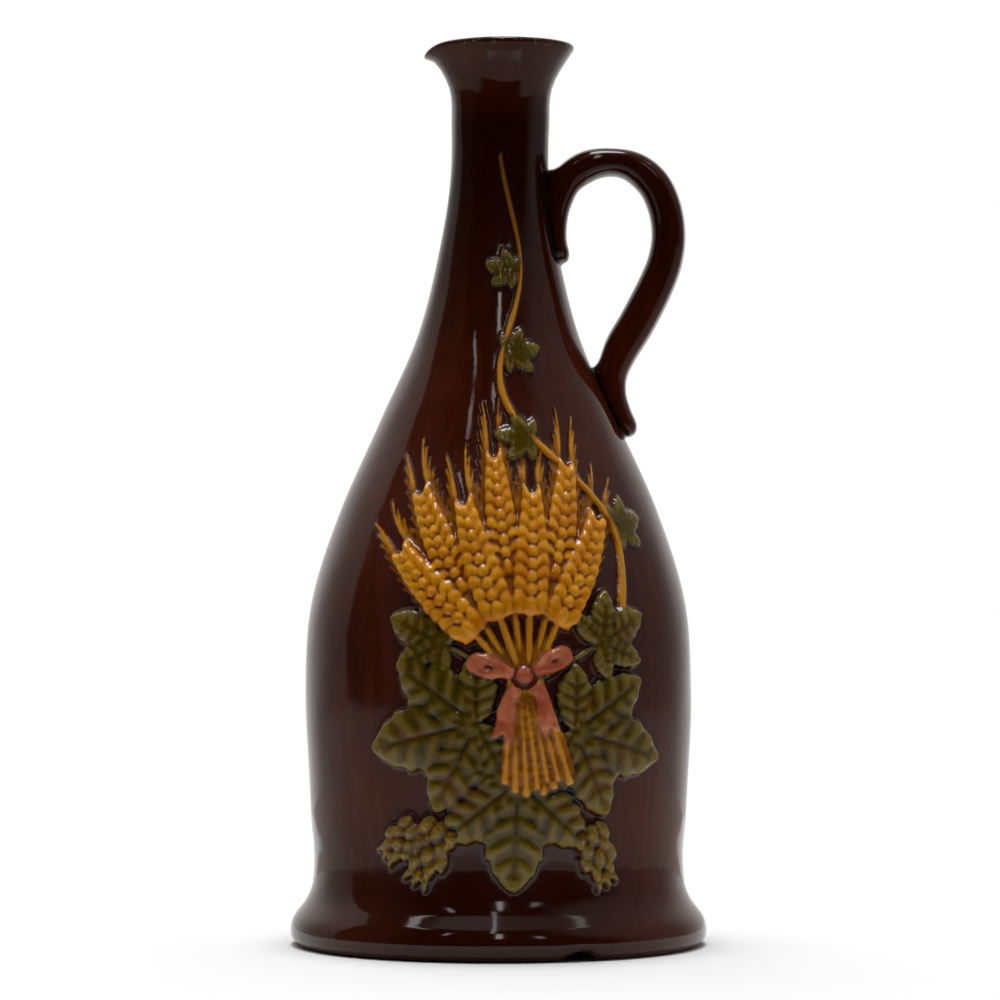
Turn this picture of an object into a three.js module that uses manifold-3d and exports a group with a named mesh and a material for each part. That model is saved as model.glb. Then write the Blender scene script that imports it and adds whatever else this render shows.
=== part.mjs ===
// A glazed stoneware spirit flask: a hollow bottle with a lip, a loop handle and a moulded barley sheaf.
// Millimetres, +Z up. The origin is the middle of the underside, the relief faces -Y and the handle is on +X.
import * as THREE from "three";
import { mergeVertices } from "three/addons/utils/BufferGeometryUtils.js";
import Module from "manifold-3d";

const wasm = await Module();
wasm.setup();

// Outside of the bottle: each height above the table, with the radius there
const FOOT = { z: 3.5, r: 51.9 };
const FOOT_TURN = { z: 6.8, r: 51.25 };
const FOOT_COVE_LOW = { z: 8.75, r: 50 };
const FOOT_COVE_MIDDLE = { z: 10.75, r: 48.4 };
const FOOT_COVE_HIGH = { z: 13, r: 47.2 };
const WAIST = { z: 20.5, r: 46.1 };
const WAIST_HIGH = { z: 31, r: 46.75 };
const LOWER_BELLY = { z: 40, r: 47.25 };
const BELLY = { z: 64, r: 48.1 };
const UPPER_BELLY = { z: 84, r: 46.8 };
const SHOULDER_LOW = { z: 107, r: 39.9 };
const SHOULDER_HIGH = { z: 131, r: 29.3 };
const NECK_ROOT = { z: 151, r: 20.5 };
const NECK_LOW = { z: 170, r: 15.5 };
const NECK_MIDDLE = { z: 189, r: 12.5 };
const NECK = { z: 204, r: 12.25 };
const THROAT = { z: 214.5, r: 13.1 };
const MOUTH = { z: 223.8, r: 18.6 };
const MOUTH_FLARE = 0.66; // radius gained for each millimetre of height at the rim
const NECK_LEAN = 0.5; // how far the thrown neck leans towards the handle
const LEAN_FROM = 172;
const LEAN_TO = 212;

// Walls
const WALL = 4;
const RIM_WALL = 2.2;
const RIM_CROWN = 0.9; // height of the rounded rim over the mouth's level
const RIM_FADE = 9; // height over which the wall thins to the rim
const FLOOR = 5;
const FOOT_RING_OUTER = 48.4;
const FOOT_RING_WIDTH = 7;
const FOOT_RECESS = 1.6;
const FLOOR_CORNER = 6; // radius between the wall and the floor inside

// Pouring lip, opposite the handle
const LIP_DROP = 2.1;
const LIP_REACH = 0.75;
const LIP_PINCH = 1.3;
const LIP_HALF_ANGLE = 24; // degrees
const LIP_PINCH_ANGLE = 50; // degrees
const LIP_BELOW_RIM = 4; // height over which the lip curls out
const PINCH_BELOW_RIM = 15; // height over which the mouth narrows beside the lip

// Handle: a pulled strap, thick in the plane of the loop and wide across it
const HANDLE_REACH = 28.5; // centreline of the loop from the neck
const STRAP = { thickness: 8.5, width: 12.5 };
const STRAP_ENDS = { thickness: 5.4, width: 11.6 }; // pressed against the bottle
const STRAP_ARCH_THICKNESS = 7.1; // pulled thinner over the top
const STRAP_LOW_THICKNESS = 9.2; // and left thicker below
const HANDLE_TOP = 195.3; // highest point of the centreline
const HANDLE_UPPER_TIP = 169.4; // lower end of the upper root
const HANDLE_LOWER_TIP = 126.2; // lower end of the lower root
// Shares of the strap's length, from the upper tip to the lower one
const UPPER_ROOT = { from: 0.04, to: 0.26 }; // where it swells to its full thickness
const LOWER_ROOT = { from: 0.76, to: 0.97 };
const ARCH_AT = 0.305;
const ARCH_SPAN = 0.055;
const SWELL = { from: 0.5, to: 0.7 }; // where it grows thicker again
const TIP_SPAN = 0.03; // rounded at each end
const TIP_BLUNT = 0.18; // share of the section left on the very end
// Clay and glaze that fill the corners between the strap and the wall: the middle's distance off the wall, and
// half sizes
const UPPER_WEB = { z: 191.6, off: 0.9, out: 1.6, aside: 3, up: 2.1 };
const LOWER_WEB = { z: 142.4, off: 0.1, out: 1.4, aside: 3, up: 1.4 };

// Relief. It is laid out flat, in millimetres across and up the belly, and wrapped round the front.
// A turn or bearing is in degrees to the left of upright.
const TIE = { across: 6, up: 68 };
const SHEAF_LEAN = 8;
const EAR_COUNT = 7;
const EAR_SPREAD = 13.2; // degrees between ears
const EAR_NEAR = 15; // from the tie to the foot of a front ear
const EAR_FAR = 24; // from the tie to the foot of a back ear
const EAR = { length: 29, width: 9.8, rise: 2.4, grains: 5, notch: 0.13, splay: 0.35 };
const GRAIN_RISE = 0.3; // share of a pod's height that its grains stand out by
const FRONT_EAR_LIFT = 0.8;
const STALKS = { waist: 8, below: 27, rise: 2.9, rise_above: 1.6, groove: 0.4 };
const STALKS_FAN_ABOVE = 0.8; // shares of the ears' spread
const STALKS_FAN_BELOW = 0.42;
const STALKS_INTO_EARS = 2;
const LEAF_RISE = 2.3;
const LEAF_DISH = 0.7; // share of the leaf's rise that is left at its stem
const LEAF_STEEPNESS = 0.35; // 0 for an upright edge, 1 for a round one
const LEAF_NOTCH = 0.12; // reach between two lobes, as a share of the leaf's length
const LEAF_LOBES = [
  { turn: 0, share: 1, half_width: 0.3 },
  { turn: 50, share: 0.86, half_width: 0.29 },
  { turn: -50, share: 0.86, half_width: 0.29 },
  { turn: 104, share: 0.62, half_width: 0.3 },
  { turn: -104, share: 0.62, half_width: 0.3 },
];
const LEAVES = [
  { across: -5, up: 57, turn: 104, length: 27.5 },
  { across: 18, up: 55, turn: -106, length: 26 },
  { across: 4.5, up: 43, turn: 178, length: 26.5 },
  { across: -13, up: 76, turn: 66, length: 15.5 },
  { across: 25, up: 76, turn: -62, length: 15 },
];
const CONE_SHAPE = { rise: 2.6, grains: 5, notch: 0.12, splay: 0.2 };
const CONES = [
  { across: -13.5, up: 33, turn: 152, length: 15, width: 10 },
  { across: 22.5, up: 32, turn: -158, length: 14, width: 9.5 },
  { across: -20, up: 32, turn: 128, length: 11.5, width: 8.5 },
];
const BOW_LOOP = { length: 14, width: 8.6, rise: 3.3, dimple: 0.55, taper: 0.4 };
const BOW_LOOP_TURNS = [74, -62];
const BOW_TAIL = { length: 16.5, width: 4.6, rise: 3.4 };
const BOW_TAIL_TURNS = [156, -150];
const KNOT = { length: 5.8, width: 5.6, rise: 3.6 };
const TENDRIL = { width: 2.6, width_at_top: 1, rise: 1.2 };
const TENDRIL_START = { across: 33, up: 84 };
const TENDRIL_END = { across: 3, up: 196 };
const TENDRIL_SWAY = { ends: 5.9, middle: 13 };
const TENDRIL_SWINGS = 1.55;
const TENDRIL_BEND = 1.5; // 1 for a straight drift to the end, more for a quick start
const TENDRIL_STEM = 2.2; // from the tendril to the foot of a leaf
const TENDRIL_LEAF_RISE = 1.3;
const TENDRIL_LEAF_DROOP = 1.25; // turn of a leaf against the turn of its stem
const TENDRIL_LEAVES = [
  { at: 0.17, turn: -60, length: 9 },
  { at: 0.36, turn: 66, length: 8.5 },
  { at: 0.55, turn: -64, length: 8 },
  { at: 0.73, turn: 58, length: 7 },
];
const SINK = 0.6; // how far the foot of each raised form is bedded in the wall

// Fineness of the faceted solid
const LATHE_SEGMENTS = 32;
const OUTSIDE_STEPS = 2; // between two stations of the outline
const CLOSE_STATIONS = 4; // stations nearer than this have one step between them
const CORNER_STEPS = 3;
const RIM_STEPS = 4;
const HANDLE_STEPS = 24;
const HANDLE_SIDES = 10;
const TENDRIL_STEPS = 24;
const TENDRIL_SIDES = 5;
const BALL_RINGS = 4;
const LOOP_SIDES = 10;
const LOOP_RINGS = 6;
const PEBBLE_SIDES = 8;
const LEAF_SIDES = 26;
const SMALL_LEAF_SIDES = 14;
const STALK_STEPS = 6;
const MERGE_TOLERANCE = 1e-4;
const NEARLY_ZERO = 0.01;

const STATIONS = [
  FOOT,
  FOOT_TURN,
  FOOT_COVE_LOW,
  FOOT_COVE_MIDDLE,
  FOOT_COVE_HIGH,
  WAIST,
  WAIST_HIGH,
  LOWER_BELLY,
  BELLY,
  UPPER_BELLY,
  SHOULDER_LOW,
  SHOULDER_HIGH,
  NECK_ROOT,
  NECK_LOW,
  NECK_MIDDLE,
  NECK,
  THROAT,
  MOUTH,
];

// Slope of the outline at a station, from its neighbours on both sides.
function slopeAt(i) {
  if (i === 0) return 0;
  if (i === STATIONS.length - 1) return MOUTH_FLARE;
  const [low, here, high] = [STATIONS[i - 1], STATIONS[i], STATIONS[i + 1]];
  const below = (here.r - low.r) / (here.z - low.z);
  const above = (high.r - here.r) / (high.z - here.z);
  return (below * (high.z - here.z) + above * (here.z - low.z)) / (high.z - low.z);
}

// Outer radius at a height, a smooth curve through the stations.
function radiusAt(z) {
  let i = STATIONS.findIndex((s) => s.z > z) - 1;
  if (i === -2) i = STATIONS.length - 2;
  i = Math.max(i, 0);
  const [low, high] = [STATIONS[i], STATIONS[i + 1]];
  const step = high.z - low.z;
  const t = THREE.MathUtils.clamp((z - low.z) / step, 0, 1);
  return (
    (2 * t ** 3 - 3 * t ** 2 + 1) * low.r +
    (t ** 3 - 2 * t ** 2 + t) * step * slopeAt(i) +
    (3 * t ** 2 - 2 * t ** 3) * high.r +
    (t ** 3 - t ** 2) * step * slopeAt(i + 1)
  );
}

// Wall thickness at a height: it thins towards the rim.
function wallAt(z) {
  const t = THREE.MathUtils.smoothstep(z, MOUTH.z - RIM_FADE, MOUTH.z);
  return THREE.MathUtils.lerp(WALL, RIM_WALL, t);
}

// Heights from one level to another: the stations between them, and a number of steps in each wide gap.
function heights(from, to, steps) {
  const between = STATIONS.filter((s) => s.z > from && s.z < to).map((s) => s.z);
  const marks = [from, ...between, to];
  const list = [];
  for (let i = 0; i + 1 < marks.length; i++) {
    const count = marks[i + 1] - marks[i] < CLOSE_STATIONS ? 1 : steps;
    for (let k = 0; k < count; k++) list.push(THREE.MathUtils.lerp(marks[i], marks[i + 1], k / count));
  }
  return [...list, to];
}

// Points on an ellipse from angle a to angle b in degrees, without the first point.
function arc(cx, cy, rx, ry, a, b, count) {
  return Array.from({ length: count }, (_, k) => {
    const angle = THREE.MathUtils.degToRad(a + ((b - a) * (k + 1)) / count);
    return new THREE.Vector2(cx + rx * Math.cos(angle), cy + ry * Math.sin(angle));
  });
}

// Half section of the bottle: underside, outside, rim, inside and floor.
function bottleProfile() {
  const ringInner = FOOT_RING_OUTER - FOOT_RING_WIDTH;
  const points = [
    new THREE.Vector2(0, FOOT_RECESS),
    new THREE.Vector2(ringInner - FOOT_RECESS, FOOT_RECESS),
    new THREE.Vector2(ringInner, 0),
    new THREE.Vector2(FOOT_RING_OUTER, 0),
    ...arc(FOOT_RING_OUTER, FOOT.z, FOOT.r - FOOT_RING_OUTER, FOOT.z, -90, 0, CORNER_STEPS),
  ];
  for (const z of heights(FOOT.z, MOUTH.z, OUTSIDE_STEPS).slice(1)) {
    points.push(new THREE.Vector2(radiusAt(z), z));
  }
  const rim = RIM_WALL / 2;
  points.push(...arc(MOUTH.r - rim, MOUTH.z, rim, RIM_CROWN, 0, 180, RIM_STEPS));
  const insideFoot = FLOOR + FLOOR_CORNER;
  const inside = heights(insideFoot, MOUTH.z, 1).reverse().slice(1);
  for (const z of inside) points.push(new THREE.Vector2(radiusAt(z) - wallAt(z), z));
  const corner = radiusAt(insideFoot) - WALL;
  points.push(...arc(corner - FLOOR_CORNER, insideFoot, FLOOR_CORNER, FLOOR_CORNER, 0, -90, CORNER_STEPS));
  points.push(new THREE.Vector2(0, FLOOR));
  return points;
}

// Moves a point of the neck to make it lean and to make the pouring lip at -X.
function shapeNeck(point) {
  const share = THREE.MathUtils.smoothstep(point.z, MOUTH.z - LIP_BELOW_RIM, MOUTH.z);
  const squeezed = THREE.MathUtils.smoothstep(point.z, MOUTH.z - PINCH_BELOW_RIM, MOUTH.z);
  const lean = NECK_LEAN * THREE.MathUtils.smoothstep(point.z, LEAN_FROM, LEAN_TO);
  if (squeezed === 0) return point.setX(point.x + lean);
  const radius = Math.hypot(point.x, point.y);
  const away = Math.abs(THREE.MathUtils.radToDeg(Math.atan2(point.y, -point.x)));
  const lip = Math.exp(-((away / LIP_HALF_ANGLE) ** 2));
  const pinch = Math.exp(-(((away - LIP_PINCH_ANGLE) / LIP_HALF_ANGLE) ** 2));
  const grow = 1 + (share * LIP_REACH * lip - squeezed * LIP_PINCH * pinch) / radius;
  return point.set(point.x * grow + lean, point.y * grow, point.z - share * LIP_DROP * lip);
}

// Changes every vertex of a geometry by a function from point to point.
function remould(geometry, change) {
  const position = geometry.getAttribute("position");
  const point = new THREE.Vector3();
  for (let i = 0; i < position.count; i++) {
    const moved = change(point.fromBufferAttribute(position, i));
    position.setXYZ(i, moved.x, moved.y, moved.z);
  }
  return geometry;
}

// A closed geometry as a solid that can be joined to others.
function solidOf(geometry) {
  geometry.deleteAttribute("normal");
  geometry.deleteAttribute("uv");
  const merged = mergeVertices(geometry, MERGE_TOLERANCE);
  const mesh = new wasm.Mesh({
    numProp: 3,
    vertProperties: merged.getAttribute("position").array,
    triVerts: new Uint32Array(merged.index.array),
  });
  return new wasm.Manifold(mesh);
}

function bottle() {
  const lathe = new THREE.LatheGeometry(bottleProfile(), LATHE_SEGMENTS);
  lathe.rotateX(Math.PI / 2);
  return solidOf(remould(lathe, shapeNeck));
}

// Centreline of the handle. Each point stands off the bottle's outline at its own height.
function handleCentreline() {
  const rise = HANDLE_TOP - HANDLE_UPPER_TIP;
  const fall = HANDLE_UPPER_TIP - HANDLE_LOWER_TIP;
  // Shares: of the reach outwards, and of the rise above or the fall below the upper tip
  const above = [
    [0.015, 0],
    [-0.002, 0.2],
    [0.025, 0.42],
    [0.07, 0.6],
    [0.17, 0.82],
    [0.34, 0.955],
    [0.54, 1],
    [0.745, 0.96],
    [0.92, 0.8],
    [1, 0.57],
    [0.999, 0.3],
    [0.925, 0.05],
  ];
  const below = [
    [0.81, 0.1],
    [0.55, 0.325],
    [0.305, 0.5],
    [0.155, 0.63],
    [0.08, 0.75],
    [0.062, 0.865],
    [0.062, 0.94],
    [0.03, 1],
  ];
  const place = (out, z) => new THREE.Vector3(radiusAt(z) + out * HANDLE_REACH, 0, z);
  return new THREE.CatmullRomCurve3([
    ...above.map(([out, up]) => place(out, HANDLE_UPPER_TIP + up * rise)),
    ...below.map(([out, down]) => place(out, HANDLE_UPPER_TIP - down * fall)),
  ]);
}

// Half thickness and half width of the strap, with t from 0 at its upper tip to 1 at its lower tip.
function handleSection(t) {
  const { smoothstep, lerp } = THREE.MathUtils;
  const upper = smoothstep(t, UPPER_ROOT.from, UPPER_ROOT.to);
  const full = Math.min(upper, 1 - smoothstep(t, LOWER_ROOT.from, LOWER_ROOT.to));
  const arch = Math.exp(-(((t - ARCH_AT) / ARCH_SPAN) ** 2));
  const low = smoothstep(t, SWELL.from, SWELL.to);
  const middle = lerp(lerp(STRAP.thickness, STRAP_LOW_THICKNESS, low), STRAP_ARCH_THICKNESS, arch);
  const end = Math.min(t, 1 - t, TIP_SPAN) / TIP_SPAN;
  const tip = Math.max(Math.sqrt(1 - (1 - end) ** 2), TIP_BLUNT);
  return {
    thickness: (lerp(STRAP_ENDS.thickness, middle, full) * tip) / 2,
    width: (lerp(STRAP_ENDS.width, STRAP.width, full) * tip) / 2,
  };
}

function handle() {
  const rod = new THREE.CylinderGeometry(1, 1, 1, HANDLE_SIDES, HANDLE_STEPS);
  const line = handleCentreline();
  const solid = remould(rod, (point) => {
    const t = THREE.MathUtils.clamp(0.5 + point.y, 0, 1);
    const centre = line.getPointAt(t);
    const along = line.getTangentAt(t);
    const size = handleSection(t);
    const out = point.x * size.thickness;
    const side = point.z * size.width;
    return point.set(centre.x + along.z * out, -side, centre.z - along.x * out);
  });
  return solidOf(solid);
}

function web({ z, off, out, aside, up }) {
  const ball = new THREE.SphereGeometry(1, PEBBLE_SIDES, BALL_RINGS);
  ball.scale(out, aside, up).translate(radiusAt(z) + off, 0, z);
  return solidOf(ball);
}

// The flat layout is as wide as the belly at every height: its stretch against the real wall at a height.
function stretchAt(up) {
  return BELLY.r / radiusAt(up);
}

// Wraps a point of the flat layout, with its height off the wall, round the front of the bottle.
function wrap(across, up, rise) {
  const angle = across / BELLY.r;
  const radius = radiusAt(up) + rise;
  return new THREE.Vector3(radius * Math.sin(angle), -radius * Math.cos(angle), up);
}

// A place in the flat layout at a distance and a bearing (degrees to the left of upright) from another.
function offset(from, bearing, distance, stretch = 1) {
  const angle = THREE.MathUtils.degToRad(bearing);
  return {
    across: from.across - distance * Math.sin(angle) * stretch,
    up: from.up + distance * Math.cos(angle),
  };
}

// Beds a raised form in the wall. The form lies along its own Y, with X across and Z as its height.
function bed(geometry, place, bearing, lift = 0, stretch = 1) {
  const angle = THREE.MathUtils.degToRad(bearing);
  const form = remould(geometry, (point) => {
    const across = place.across + (point.x * Math.cos(angle) - point.y * Math.sin(angle)) * stretch;
    const up = place.up + point.x * Math.sin(angle) + point.y * Math.cos(angle);
    return point.copy(wrap(across, up, point.z + lift));
  });
  return solidOf(form);
}

// A smooth pebble, bedded by its middle, such as a knot or a ribbon's end.
function pebble({ length, width, rise }) {
  const ball = new THREE.SphereGeometry(1, PEBBLE_SIDES, BALL_RINGS);
  ball.rotateX(Math.PI / 2);
  return ball.scale(width / 2, length / 2, rise);
}

// An ear or a cone: a long pod whose edge and top are notched into grains that point up and out.
function pod({ length, width, rise, grains, notch, splay }, foot, bearing, lift) {
  const ball = new THREE.SphereGeometry(1, 4 * grains, BALL_RINGS);
  ball.rotateX(Math.PI / 2);
  remould(ball, (point) => {
    const flat = Math.hypot(point.x, point.y);
    const grain = Math.cos(2 * grains * Math.atan2(point.x, point.y));
    const across = (point.x * (1 + notch * grain) * width) / 2;
    const along = (point.y * length) / 2 + Math.abs(across) * splay;
    return point.set(across, along, point.z * rise * (1 + GRAIN_RISE * flat * grain));
  });
  return bed(ball, offset(foot, bearing, length / 2), bearing, lift);
}

// The stalks run through the tie as one ridged bundle, wide above it, narrow in it and fanned out below.
function stalks() {
  const bundle = new THREE.BoxGeometry(1, 1, 1, 2 * EAR_COUNT, STALK_STEPS, 1);
  const half = THREE.MathUtils.degToRad((EAR_SPREAD * (EAR_COUNT - 1)) / 2);
  remould(bundle, (point) => {
    const along = THREE.MathUtils.lerp(-STALKS.below, EAR_NEAR + STALKS_INTO_EARS, point.y + 0.5);
    const above = along > 0;
    const angle = half * (above ? STALKS_FAN_ABOVE : STALKS_FAN_BELOW);
    const width = STALKS.waist + 2 * Math.abs(along) * Math.tan(angle);
    const between = 1 - (Math.round((point.x + 0.5) * 2 * EAR_COUNT) % 2);
    const top = (above ? STALKS.rise_above : STALKS.rise) * (1 - STALKS.groove * between);
    return point.set(point.x * width, along, point.z > 0 ? top : -SINK);
  });
  return bed(bundle, TIE, SHEAF_LEAN);
}

// The ears fan out above the tie, every other one in front.
function sheaf() {
  const middle = (EAR_COUNT - 1) / 2;
  const ears = Array.from({ length: EAR_COUNT }, (_, i) => {
    const front = i % 2 === 0;
    const bearing = (middle - i) * EAR_SPREAD + SHEAF_LEAN;
    const foot = offset(TIE, bearing, front ? EAR_NEAR : EAR_FAR);
    return pod(EAR, foot, bearing, front ? FRONT_EAR_LIFT : 0);
  });
  return [stalks(), ...ears];
}

// Outline of a lobed leaf from its stem's end: the furthest of its lobes, each an ellipse through that point.
function leafReach(angle) {
  const reaches = LEAF_LOBES.map(({ turn, share, half_width }) => {
    const away = angle - THREE.MathUtils.degToRad(turn);
    const slim = 1 / (2 * half_width);
    return (share * Math.cos(away)) / (Math.cos(away) ** 2 + (slim * Math.sin(away)) ** 2);
  });
  return Math.max(LEAF_NOTCH, ...reaches);
}

// A leaf is steep at its edge and dished towards its stem.
function leaf({ across, up, turn, length }, rise, sides, stretch = 1) {
  const ball = new THREE.SphereGeometry(1, sides, BALL_RINGS);
  ball.rotateX(Math.PI / 2);
  remould(ball, (point) => {
    const flat = Math.hypot(point.x, point.y);
    const middle = flat < NEARLY_ZERO;
    const reach = length * leafReach(Math.atan2(-point.x, point.y));
    const spread = middle ? 0 : (reach * flat ** LEAF_STEEPNESS) / flat;
    const height = point.z > NEARLY_ZERO ? rise * (middle ? LEAF_DISH : 1) : SINK * (point.z - 1);
    return point.set(point.x * spread, point.y * spread, height);
  });
  return bed(ball, { across, up }, turn, 0, stretch);
}

// A loop of ribbon: a drop with a dimple, its narrow end at the knot.
function bowLoop(bearing) {
  const { length, width, rise, dimple, taper } = BOW_LOOP;
  const ball = new THREE.SphereGeometry(1, LOOP_SIDES, LOOP_RINGS);
  ball.rotateX(Math.PI / 2);
  remould(ball, (point) => {
    const flat = Math.hypot(point.x, point.y);
    const across = (point.x * (1 - taper + taper * point.y) * width) / 2;
    const height = point.z * rise * (1 - dimple * (1 - flat) ** 2);
    return point.set(across, (point.y * length) / 2, height);
  });
  return bed(ball, offset(TIE, bearing, length / 2), bearing);
}

function bow() {
  const tails = BOW_TAIL_TURNS.map((bearing) =>
    bed(pebble(BOW_TAIL), offset(TIE, bearing, BOW_TAIL.length / 2), bearing),
  );
  return [...BOW_LOOP_TURNS.map(bowLoop), ...tails, bed(pebble(KNOT), TIE, 0)];
}

// Path of the climbing tendril in the flat layout: it drifts to the middle and sways most half way up.
function tendrilAt(t) {
  const { lerp } = THREE.MathUtils;
  const drift = lerp(TENDRIL_END.across, TENDRIL_START.across, Math.max(1 - t, 0) ** TENDRIL_BEND);
  const sway = lerp(TENDRIL_SWAY.ends, TENDRIL_SWAY.middle, Math.sin(Math.PI * t));
  return {
    across: drift + sway * Math.sin(2 * Math.PI * TENDRIL_SWINGS * t),
    up: lerp(TENDRIL_START.up, TENDRIL_END.up, t),
  };
}

function tendril() {
  const rod = new THREE.CylinderGeometry(1, 1, 1, TENDRIL_SIDES, TENDRIL_STEPS);
  const { lerp, clamp } = THREE.MathUtils;
  remould(rod, (point) => {
    const t = clamp(0.5 + point.y, 0, 1);
    const here = tendrilAt(t);
    const next = tendrilAt(t + NEARLY_ZERO);
    const stretch = stretchAt(here.up);
    const angle = Math.atan2((here.across - next.across) / stretch, next.up - here.up);
    const side = (point.x * lerp(TENDRIL.width, TENDRIL.width_at_top, t)) / 2;
    const across = here.across + side * Math.cos(angle) * stretch;
    return point.copy(wrap(across, here.up + side * Math.sin(angle), point.z * TENDRIL.rise));
  });
  return solidOf(rod);
}

function tendrilLeaf({ at, turn, length }) {
  const stem = tendrilAt(at);
  const stretch = stretchAt(stem.up);
  const blade = { ...offset(stem, turn, TENDRIL_STEM, stretch), turn: turn * TENDRIL_LEAF_DROOP, length };
  return leaf(blade, TENDRIL_LEAF_RISE, SMALL_LEAF_SIDES, stretch);
}

const relief = [
  ...LEAVES.map((blade) => leaf(blade, LEAF_RISE, LEAF_SIDES)),
  ...CONES.map((cone) => pod({ ...cone, ...CONE_SHAPE }, cone, cone.turn, 0)),
  ...sheaf(),
  ...bow(),
  tendril(),
  ...TENDRIL_LEAVES.map(tendrilLeaf),
];

// The joined flask without the small sealed pockets that forms leaning on each other leave under them.
function joined(solids) {
  const bodies = wasm.Manifold.union(solids).decompose();
  return bodies.reduce((most, body) => (body.volume() > most.volume() ? body : most));
}

const flask = joined([bottle(), handle(), web(UPPER_WEB), web(LOWER_WEB), ...relief]);

const made = flask.getMesh();
const geometry = new THREE.BufferGeometry();
geometry.setAttribute("position", new THREE.BufferAttribute(made.vertProperties, 3));
geometry.setIndex(new THREE.BufferAttribute(made.triVerts, 1));
geometry.computeVertexNormals();

const glaze = new THREE.MeshStandardMaterial({ color: 0x2e130c, roughness: 0.12, metalness: 0 });
const mesh = new THREE.Mesh(geometry, glaze);
mesh.name = "flask";
const group = new THREE.Group();
group.add(mesh);

export default group;
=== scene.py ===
import math

import bpy
import numpy as np
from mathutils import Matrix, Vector
from mathutils.bvhtree import BVHTree
from mathutils.kdtree import KDTree


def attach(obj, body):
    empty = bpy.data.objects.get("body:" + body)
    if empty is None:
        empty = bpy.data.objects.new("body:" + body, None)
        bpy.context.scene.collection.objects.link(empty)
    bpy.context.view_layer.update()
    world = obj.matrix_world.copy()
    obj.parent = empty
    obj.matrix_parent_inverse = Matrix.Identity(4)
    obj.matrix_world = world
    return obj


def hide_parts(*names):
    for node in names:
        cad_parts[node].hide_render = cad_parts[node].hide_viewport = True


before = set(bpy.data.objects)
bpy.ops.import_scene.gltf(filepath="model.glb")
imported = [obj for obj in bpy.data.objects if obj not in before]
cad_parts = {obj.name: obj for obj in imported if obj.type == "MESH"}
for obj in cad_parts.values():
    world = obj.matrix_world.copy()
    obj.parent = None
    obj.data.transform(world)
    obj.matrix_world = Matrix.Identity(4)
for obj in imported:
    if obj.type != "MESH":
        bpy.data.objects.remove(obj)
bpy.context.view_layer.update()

MM = 0.001

# Outside of the bottle: heights above the table, and the radius at each
STATIONS = [
    (3.5, 51.9),  # foot
    (6.8, 51.25),
    (8.75, 50.0),
    (10.75, 48.4),
    (13.0, 47.2),
    (20.5, 46.1),  # waist
    (31.0, 46.75),
    (40.0, 47.25),
    (64.0, 48.1),  # belly
    (84.0, 46.8),
    (107.0, 39.9),  # shoulder
    (131.0, 29.3),
    (151.0, 20.5),
    (170.0, 15.5),  # neck
    (189.0, 12.5),
    (204.0, 12.25),
    (214.5, 13.1),
    (223.8, 18.6),  # mouth
]
HEIGHTS, RADII = np.array(STATIONS).T
FOOT_Z, FOOT_R = STATIONS[0]
MOUTH_Z, MOUTH_R = STATIONS[-1]
BELLY_R = 48.1
MOUTH_FLARE = 0.66
NECK_LEAN = (172.0, 212.0)  # heights between which the thrown neck leans towards the handle
LEAN_OUT = 0.5

WALL = 4.0
RIM_WALL = 2.2
RIM_FADE = 9.0
RIM_BELOW = 0.55  # the rim's round starts this far below the mouth's level
FLOOR = 5.0
RING_OUTER = 48.4
RING_WIDTH = 7.0
RECESS = 1.6
FLOOR_CORNER = 6.0
HUB = 3.0  # radius of the flat disc that closes the middle of the underside and of the floor

LIP_DROP = 2.1
LIP_REACH = 0.75
LIP_PINCH = 1.3
LIP_HALF_ANGLE = 24.0
LIP_PINCH_ANGLE = 50.0
LIP_BELOW_RIM = 4.0
PINCH_BELOW_RIM = 15.0

CHIP_ANGLE = 23.0  # degrees from the front to the handle's side
CHIP_HALF_WIDTH = 3.4
CHIP_DEPTH = 2.3
CHIP_INWARD = (6.0, 1.0)  # the chip begins and is full this far inside the ring that the flask stands on

HANDLE_REACH = 28.5  # from the wall to the centreline where the loop is widest
STRAP = (8.5, 12.5)  # thickness in the plane of the loop, width across it
STRAP_ENDS = (5.4, 11.6)  # the same two at its ends
STRAP_ARCH_THICKNESS = 7.1
STRAP_LOW_THICKNESS = 9.2
HANDLE_TOP = 195.3
HANDLE_UPPER_TIP = 169.4
HANDLE_LOWER_TIP = 126.2
# Shares of the strap's length: where it grows out of its ends, is thin in the arch, and swells again
UPPER_ROOT = (0.04, 0.26)
LOWER_ROOT = (0.76, 0.97)
ARCH_AT, ARCH_SPAN = 0.305, 0.055
SWELL = (0.5, 0.7)
TIP_SPAN = 0.03
TIP_BLUNT = 0.1
STRAP_SQUARENESS = 2.5  # 2 for an oval section, more for a squarer one
STRAP_GROOVES = ((-0.42, 0.3), (0.36, 0.26))  # place across the outer face and depth of the pulled grooves
GROOVE_SPAN = 0.17
# Glaze that fills the two corners between the strap and the wall: share of its length, span and height
UPPER_WEB = (0.182, 0.012, 1.8)
LOWER_WEB = (0.857, 0.014, 1.7)
HANDLE_STEPS = 130
HANDLE_SIDES = 36
# Centreline of the handle: share of the reach outwards, and of the rise or fall from the upper tip
HANDLE_ABOVE = [
    (0.015, 0), (-0.002, 0.2), (0.025, 0.42), (0.07, 0.6), (0.17, 0.82), (0.34, 0.955),
    (0.54, 1), (0.745, 0.96), (0.92, 0.8), (1.0, 0.57), (0.999, 0.3), (0.925, 0.05),
]
HANDLE_BELOW = [
    (0.81, 0.1), (0.55, 0.325), (0.305, 0.5), (0.155, 0.63), (0.08, 0.75), (0.062, 0.865),
    (0.062, 0.94), (0.03, 1),
]

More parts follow.
